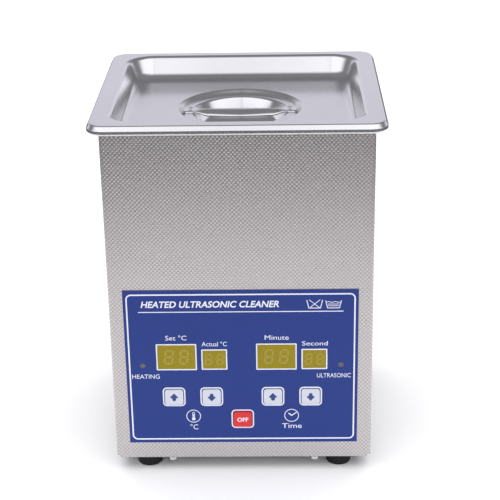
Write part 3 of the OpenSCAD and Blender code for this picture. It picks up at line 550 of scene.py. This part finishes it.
def band(outer, inner, y0, y1):
    """A closed frame between two outlines of equal length."""
    n = len(outer)
    verts = [(PANEL_X + x * MM, y, BASE_Z + z * MM)
             for y in (y0, y1) for ring in (outer, inner) for x, z in ring]
    faces = []
    for k in range(n):
        j = (k + 1) % n
        faces += [(k, j, n + j, n + k), (2 * n + k, 2 * n + j, 3 * n + j, 3 * n + k),
                  (k, j, 2 * n + j, 2 * n + k), (n + k, n + j, 3 * n + j, 3 * n + k)]
    return verts, faces


def shifted(outline, x, z):
    return [(px + x, pz + z) for px, pz in outline]


def merged(shapes):
    verts, faces = [], []
    for v, f in shapes:
        o = len(verts)
        verts += v
        faces += [tuple(i + o for i in face) for face in f]
    return verts, faces


def stroke(x0, z0, x1, z1, width):
    """Outline of a straight line with square ends."""
    length = math.hypot(x1 - x0, z1 - z0)
    ux, uz = (x1 - x0) / length, (z1 - z0) / length
    px, pz = -uz * width / 2, ux * width / 2
    return [(x0 + px, z0 + pz), (x0 - px, z0 - pz), (x1 - px, z1 - pz), (x1 + px, z1 + pz)]


def printed(name, shapes, body="base", slot="overlay_blue", material=PRINT_WHITE):
    verts, faces = merged(shapes)
    return piece(name, verts, faces, body, slot, material)


FRONT, BACK = PANEL_Y - INK, PANEL_Y + OVER
BORDER_Z = (13.3 + 114.85) / 2
BORDER = (140.4, 101.6)
LINE = 0.9


def frame_band(w, h, r, line, x, z):
    return band(shifted(rounded(w, h, r), x, z),
                shifted(rounded(w - 2 * line, h - 2 * line, max(0.15, r - line)), x, z), BACK, FRONT)


def ring_band(r, line, x, z):
    turn = [math.tau * i / 32 for i in range(32)]
    return band([(x + r * math.cos(a), z + r * math.sin(a)) for a in turn],
                [(x + (r - line) * math.cos(a), z + (r - line) * math.sin(a)) for a in turn], BACK, FRONT)


printed("panel_border", [frame_band(*BORDER, 3.4, LINE, 0, BORDER_Z)])
printed("panel_rule", [slab(stroke(-62.8, 102.8, 62.8, 102.8, 0.55), BACK, FRONT)])

# centre, width and height of each window, and centre and arrow of each key
DISPLAYS = {"set": (-40.4, 71.9, 23.6, 16.6), "actual": (-16.9, 70.1, 14.5, 12.6),
            "minute": (21.6, 71.9, 23.6, 16.6), "second": (45.1, 70.1, 14.5, 12.6)}
printed("display_frames", [frame_band(w + 1.5, h + 1.5, 0.5, 0.75, x, z)
                           for x, z, w, h in DISPLAYS.values()])

KEYS = {"key_temp_up": (-42.8, 44, 1), "key_temp_down": (-19.2, 44, -1),
        "key_time_up": (19.2, 44, 1), "key_time_down": (42.8, 44, -1), "key_power": (0, 28, 0)}
printed("key_frames", [frame_band(14.2, 13.3, 2.7, 0.85, x, z) for x, z, _ in KEYS.values()])


def segments(x, z, height, width):
    """Outlines of the seven segments of one digit centred at (x, z)."""
    t = height * 0.13
    g = t * 0.12
    lean = 0.10
    w, h = width / 2 - t / 2, height / 2 - t / 2
    runs = [(-w, h, w, h), (-w, 0, w, 0), (-w, -h, w, -h),
            (-w, 0, -w, h), (w, 0, w, h), (-w, -h, -w, 0), (w, -h, w, 0)]
    out = []
    for x0, z0, x1, z1 in runs:
        length = math.hypot(x1 - x0, z1 - z0)
        ux, uz = (x1 - x0) / length, (z1 - z0) / length
        px, pz = -uz * t / 2, ux * t / 2
        # a small gap parts each segment from the next
        x0, z0, x1, z1 = x0 + ux * g, z0 + uz * g, x1 - ux * g, z1 - uz * g
        k = t / 2
        pts = [(x0, z0), (x0 + ux * k + px, z0 + uz * k + pz),
               (x1 - ux * k + px, z1 - uz * k + pz), (x1, z1),
               (x1 - ux * k - px, z1 - uz * k - pz), (x0 + ux * k - px, z0 + uz * k - pz)]
        out.append([(x + a + lean * b, z + b) for a, b in pts])
    return out


for label, (x, z, w, h) in DISPLAYS.items():
    digit_h, digit_w, step = h * 0.62, h * 0.36, h * 0.56
    shapes = []
    for side in (-1, 1):
        for outline in segments(x + side * step / 2, z, digit_h, digit_w):
            shapes.append(slab(outline, PANEL_Y + 0.04 * MM, PANEL_Y + 0.02 * MM))
    printed(label + "_digits", shapes, slot="window_olive", material=SEGMENT)


def lettering(name, text, x, z, height, body="base", y=FRONT, width=None, bold=0.0, slant=0.0,
              material=PRINT_WHITE, slot="overlay_blue", align="CENTER", base=None):
    """Raised print: generic labels only. z is the baseline, height the capitals' height."""
    curve = bpy.data.curves.new(name, "FONT")
    curve.body = text
    curve.size = 1.0
    curve.align_x = align
    curve.offset = bold
    curve.shear = slant
    curve.resolution_u = 4
    curve.extrude = 0.001
    temp = bpy.data.objects.new(name + "_text", curve)
    scene.collection.objects.link(temp)
    dg = bpy.context.evaluated_depsgraph_get()
    mesh = bpy.data.meshes.new_from_object(temp.evaluated_get(dg))
    bpy.data.objects.remove(temp)
    xs = [v.co.x for v in mesh.vertices]
    cap = 0.729 + 2 * bold
    k = height / cap
    kx = k if width is None else width / (max(xs) - min(xs))
    mid = (max(xs) + min(xs)) / 2 if align == "CENTER" else min(xs)
    back = BACK if base is None else base
    verts = []
    for v in mesh.vertices:
        px, pz = (v.co.x - mid) * kx + x, v.co.y * k + z
        verts.append((PANEL_X + px * MM, y if v.co.z > 0 else back, BASE_Z + pz * MM))
    faces = [tuple(p.vertices) for p in mesh.polygons]
    bpy.data.meshes.remove(mesh)
    return piece(name, verts, faces, body, slot, material)


lettering("title", "HEATED ULTRASONIC CLEANER", -61.1, 105.9, 4.6, width=84.6, bold=0.022, slant=0.22,
          align="LEFT")
lettering("label_set", "Set °C", -40.3, 83.6, 3.3, width=13.0)
lettering("label_actual", "Actual °C", -16.7, 79.4, 3.1, width=15.6)
lettering("label_minute", "Minute", 21.9, 83.6, 3.3, width=14.8)
lettering("label_second", "Second", 45.4, 79.5, 3.1, width=15.8)
lettering("label_heating", "HEATING", -59.9, 57.0, 3.1, width=17.2)
lettering("label_ultrasonic", "ULTRASONIC", 57.2, 57.2, 3.1, width=21.0)
lettering("label_degrees", "°C", -30.8, 20.6, 3.7, width=4.9)
lettering("label_time", "Time", 31.0, 21.2, 3.6, width=12.4)


# Pictograms: a thermometer, a clock, and two plain baths
def polyline(points, width):
    return [slab(stroke(*a, *b, width), BACK, FRONT) for a, b in zip(points, points[1:])]


def disc(x, z, r):
    turn = [math.tau * i / 20 for i in range(20)]
    return slab([(x + r * math.cos(a), z + r * math.sin(a)) for a in turn], BACK, FRONT)


TX, TZ = -31.0, 30.1
printed("icon_thermometer", [ring_band(4.6, 0.45, TX, TZ), disc(TX, TZ - 1.9, 1.15),
                             frame_band(1.5, 4.6, 0.7, 0.35, TX, TZ + 0.7),
                             slab(stroke(TX, TZ - 1.6, TX, TZ + 1.3, 0.5), BACK, FRONT - OVER)])
CX, CZ = 30.8, 30.3
printed("icon_clock", [ring_band(4.6, 0.45, CX, CZ)] + polyline([(CX - 1.9, CZ + 1.6), (CX, CZ)], 0.7)
        + [slab(stroke(CX - 0.1, CZ - 0.2, CX + 3.0, CZ + 2.2, 0.6), BACK, FRONT - OVER)])


def bath_icon(name, x, z, w, h, inside):
    line, low, high = 0.5, z - h / 2, z + h / 2
    walls = polyline([(x - w / 2, high), (x - w / 2 + 1.2, low)], line)
    walls += polyline([(x + w / 2, high), (x + w / 2 - 1.2, low)], line)
    walls += [slab(stroke(x - w / 2 + 1.0, low, x + w / 2 - 1.0, low, line), BACK, FRONT - OVER)]
    printed(name, walls + inside)


def ripple(x0, x1, z, lift):
    n = 16
    top = [(x0 + (x1 - x0) * i / n, z + lift * math.sin(math.tau * 2 * i / n) + 0.2) for i in range(n + 1)]
    return slab(top + [(px, pz - 0.4) for px, pz in reversed(top)], BACK, FRONT - 2 * OVER)


bath_icon("icon_never_dry", 45.2, 107.7, 9.6, 5.4,
          [slab(stroke(41.8, 110.6, 48.4, 105.0, 0.4), BACK, FRONT - 2 * OVER),
           slab(stroke(42.0, 105.0, 48.6, 110.6, 0.4), BACK, FRONT - 3 * OVER)])
bath_icon("icon_fill_level", 56.7, 107.5, 9.6, 5.0,
          [ripple(52.6, 60.8, 109.0, 0.25), ripple(53.2, 60.2, 107.6, 0.0), ripple(53.5, 59.9, 106.4, 0.0)])


def arrow(x, z, up):
    """A block arrow as on the caps of the keys."""
    pts = [(0, 2.9), (2.5, 0.1), (2.2, -0.5), (1.2, -0.5), (1.2, -1.6), (0.8, -2.5),
           (-0.8, -2.5), (-1.2, -1.6), (-1.2, -0.5), (-2.2, -0.5), (-2.5, 0.1)]
    return [(x + px, z + up * pz) for px, pz in pts]


for key, (x, z, up) in KEYS.items():
    cap_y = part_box(key)[0].y
    body = key + "_body"
    if up:
        verts, faces = slab(arrow(x, z, up), cap_y + 0.01 * MM, cap_y - INK)
        piece(key + "_arrow", verts, faces, body, "key_white", PRINT_NAVY)
    else:
        lettering("power_label", "OFF", x, z - 1.5, 3.0, body=body, y=cap_y - INK, base=cap_y + 0.01 * MM,
                  width=7.0, bold=0.02, slot="key_red")


def dome(x, z, r, high):
    """A low dome on the panel with a closed back."""
    n, rows = 20, 5
    rings = []
    for j in range(rows):
        a = math.pi / 2 * j / rows
        rr, y = r * math.cos(a), PANEL_Y + 0.05 * MM - high * MM * math.sin(a)
        rings.append([(PANEL_X + (x + rr * math.cos(math.tau * i / n)) * MM, y,
                       BASE_Z + (z + rr * math.sin(math.tau * i / n)) * MM) for i in range(n)])
    base = [(px, PANEL_Y + 0.3 * MM, pz) for px, _, pz in rings[0]]
    return loft([base] + rings)


for lamp, x in (("heating_lens", -61.5), ("ultrasonic_lens", 61.5)):
    verts, faces = dome(x, 66.1, 1.72, 0.35)
    piece(lamp, verts, faces, "base", "led_lens", LAMP, smooth=True)


# ---------------------------------------------------------------- eased edges

# the small eased edge that moulding, turning or tumbling leaves on each part
EASED = (("key_", 0.35), ("foot_front", 0.9), ("foot_rear", 0.9), ("mains_inlet", 0.5),
         ("fuse_drawer", 0.35), ("base_screws", 0.3), ("foot_screws", 0.3), ("inlet_screws", 0.25),
         ("thermal_cutout", 0.3), ("transducer_front_mass", 0.5), ("transducer_back_mass", 0.5),
         ("transformer_core", 0.5), ("heat_sink", 0.2), ("power_transistors", 0.3),
         ("film_capacitors", 0.6), ("bulk_capacitor", 0.8), ("bridge_rectifier", 0.4),
         ("terminal_blocks", 0.3), ("tact_switches", 0.2), ("rim_gasket", 0.3))
for name, ob in nodes.items():
    for start, width in EASED:
        if name.startswith(start):
            soft = ob.modifiers.new("edge", "BEVEL")
            soft.width = width * MM
            soft.segments = 3
            soft.limit_method = "ANGLE"
            soft.angle_limit = math.radians(40)


# ---------------------------------------------------------------- studio

paper = Look("studio_paper", Roughness=0.9, Specular_IOR_Level=0.2)
paper.colour(paper.mix(paper.noise(3), (0.88, 0.88, 0.885), (0.91, 0.91, 0.915)))


def turned(name, profile, n=96):
    """A surface of revolution about the upright axis through (radius, height) points in metres."""
    verts = [(r * math.cos(math.tau * i / n), r * math.sin(math.tau * i / n), z)
             for r, z in profile for i in range(n)]
    faces = [(j * n + i, j * n + (i + 1) % n, (j + 1) * n + (i + 1) % n, (j + 1) * n + i)
             for j in range(len(profile) - 1) for i in range(n)]
    mesh = bpy.data.meshes.new(name)
    mesh.from_pydata(verts, [], faces)
    mesh.polygons.foreach_set("use_smooth", [True] * len(mesh.polygons))
    ob = bpy.data.objects.new(name, mesh)
    scene.collection.objects.link(ob)
    mesh.materials.append(paper.material)
    return ob


NEAR = 0.56                     # the steel mirrors the floor only this far out
turned("studio_floor", [(0.0001, 0), (NEAR, 0)])
# the rest of the floor sweeps up into a pale cove, which the steel doesn't mirror
BEND, FLAT = 2.0, 3.5
WALL = FLAT + BEND
sweep = [math.pi / 24 * k for k in range(13)]
cove = turned("studio_cove", [(NEAR, 0), (1, 0), (2, 0), (3, 0)]
              + [(FLAT + BEND * math.sin(a), BEND - BEND * math.cos(a)) for a in sweep]
              + [(WALL * math.cos(a), BEND + WALL * math.sin(a)) for a in sweep[1:-1]]
              + [(0.0001, BEND + WALL)])
cove.visible_glossy = cove.visible_diffuse = cove.visible_shadow = False

world = bpy.data.worlds.new("studio")
scene.world = world
world.use_nodes = True
sky = Wiring(world.node_tree)
x, y, z = sky.axes("Generated")
# brightness round the sky: 0 is the horizon in front, 0.5 straight up, 1 the horizon behind
SKY = ((0.0, 0.14), (0.05, 0.42), (0.12, 1.06), (0.27, 1.06), (0.33, 0.74), (0.39, 0.34), (0.47, 0.21),
       (0.73, 0.19), (0.80, 0.27), (0.855, 0.38), (0.895, 0.65), (1.0, 0.68))
ramp = sky.node("ShaderNodeValToRGB")
sky.link(sky.math("DIVIDE", sky.math("ARCTAN2", z, sky.math("MULTIPLY", y, -1.0)), math.pi), ramp.inputs[0])
elements = ramp.color_ramp.elements
while len(elements) > 1:
    elements.remove(elements[-1])
elements[0].position = SKY[0][0]
for k, (at, value) in enumerate(SKY):
    e = elements.new(at) if k else elements[0]
    tint = 1.0 if at > 0.8 else 0.3          # a cool white, cooler behind
    e.color = (value * (1 - 0.012 * tint), value * (1 - 0.025 * tint), value * (1 + 0.07 * tint), 1)
# a light stand in front leaves a narrow dimmer strip between two bright screens
stand = sky.spread(sky.math("ABSOLUTE", sky.math("ADD", x, 0.03)), 0.78, 1.14, 0.005, 0.055, "SMOOTHSTEP")
behind = sky.spread(y, 0.0, 1.14, -0.3, 0.1)
background = sky.tree.nodes["Background"]
sky.link(ramp.outputs[0], background.inputs[0])
sky.link(sky.math("MAXIMUM", stand, behind), background.inputs[1])


def softbox(name, at, aim, size, power, spread=180):
    data = bpy.data.lights.new(name, "AREA")
    data.shape = "RECTANGLE"
    data.size, data.size_y = size
    data.energy = power
    data.spread = math.radians(spread)
    ob = bpy.data.objects.new(name, data)
    scene.collection.objects.link(ob)
    ob.location = at
    ob.rotation_euler = (Vector(aim) - Vector(at)).to_track_quat("-Z", "Y").to_euler()
    ob.visible_glossy = ob.visible_camera = False      # the sky's own bands are what the steel mirrors


softbox("overhead_softbox", (0, 0.3, 2.6), (0, 0.3, 0.0), (5, 5), 135)
# a faint fill with a narrow spread, for the front alone
softbox("front_softbox", (0.1, -1.5, 0.9), (0, 0, 0.12), (1.2, 0.8), 0.4, 40)

# ---------------------------------------------------------------- camera

YAW, PITCH, ROLL = math.radians(1.41), math.radians(23.04), math.radians(-1.01)
FOCAL_TO_WIDTH = 2.84124
EYE = (0.02569, -0.85802, BASE_Z + 0.47704)
camera = bpy.data.cameras.new("camera")
camera.sensor_width = 36
camera.lens = camera.sensor_width * FOCAL_TO_WIDTH
camera.clip_end = 50
eye = bpy.data.objects.new("camera", camera)
scene.collection.objects.link(eye)
turn_yaw = Matrix(((math.cos(YAW), math.sin(YAW), 0), (-math.sin(YAW), math.cos(YAW), 0), (0, 0, 1)))
to_view = Matrix(((1, 0, 0), (0, 0, -1), (0, 1, 0)))
turn_pitch = Matrix(((1, 0, 0), (0, math.cos(PITCH), -math.sin(PITCH)),
                     (0, math.sin(PITCH), math.cos(PITCH))))
turn_roll = Matrix(((math.cos(ROLL), -math.sin(ROLL), 0), (math.sin(ROLL), math.cos(ROLL), 0), (0, 0, 1)))
look = turn_roll @ turn_pitch @ to_view @ turn_yaw
right, down, ahead = look[0], look[1], look[2]
pose = Matrix((right, -down, -ahead)).transposed().to_4x4()
pose.translation = Vector(EYE)
eye.matrix_world = pose
scene.camera = eye
scene.view_settings.view_transform = "Standard"
scene.view_settings.look = "None"
